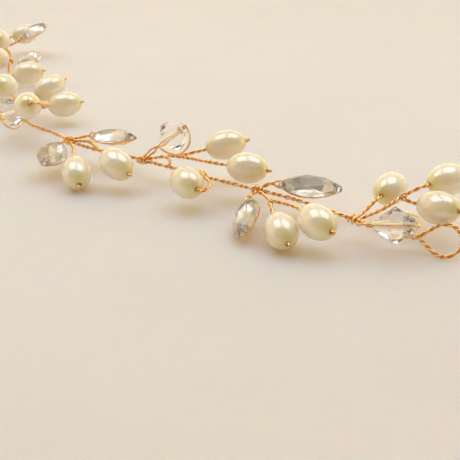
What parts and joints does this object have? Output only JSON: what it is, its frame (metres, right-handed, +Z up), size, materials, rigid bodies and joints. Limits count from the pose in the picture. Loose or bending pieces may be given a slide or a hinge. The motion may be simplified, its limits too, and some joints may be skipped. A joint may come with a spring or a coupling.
{
  "type": "bridal hair vine",
  "caption": "Twisted gold wire hair vine with small sprays of drilled oval pearls, faceted crystal beads and cut navette stones, and a wire loop at each end.",
  "frame": {"origin": "middle of the length and width of the vine, at the height of the table it lies on", "axes": "+X along the vine from its left end loop to its right end loop, +Y across it on the table, +Z up"},
  "size_m": [0.1985, 0.0581, 0.0133],
  "materials": {
    "gold_wire": "polished, rose gold tone",
    "pearl": "pearl lustre, cream",
    "crystal": "clear, faceted",
    "navette": "clear, faceted, mirror back"
  },
  "bodies": {
    "root": {"main_stem": "gold_wire", "end_loop_right": "gold_wire", "end_loop_left": "gold_wire", "spray_wire_1": "gold_wire", "spray_wire_2": "gold_wire", "spray_wire_3": "gold_wire", "spray_wire_3c": "gold_wire", "spray_wire_4": "gold_wire", "spray_wire_5": "gold_wire", "spray_wire_6": "gold_wire", "spray_wire_7": "gold_wire", "spray_wire_8": "gold_wire", "pearl_1a": "pearl", "pearl_1b": "pearl", "pearl_1c": "pearl", "crystal_1": "crystal", "pearl_2a": "pearl", "pearl_2b": "pearl", "navette_2a": "navette", "navette_2b": "navette", "pearl_3a": "pearl", "pearl_3b": "pearl", "crystal_3": "crystal", "pearl_3c": "pearl", "pearl_4a": "pearl", "pearl_4b": "pearl", "navette_4a": "navette", "navette_4b": "navette", "pearl_5a": "pearl", "pearl_5b": "pearl", "pearl_5c": "pearl", "crystal_5": "crystal", "pearl_6a": "pearl", "pearl_6b": "pearl", "navette_6a": "navette", "navette_6b": "navette", "pearl_7a": "pearl", "pearl_7b": "pearl", "pearl_7c": "pearl", "crystal_7": "crystal", "pearl_8a": "pearl", "pearl_8b": "pearl", "navette_8a": "navette", "navette_8b": "navette"}
  },
  "joints": []
}
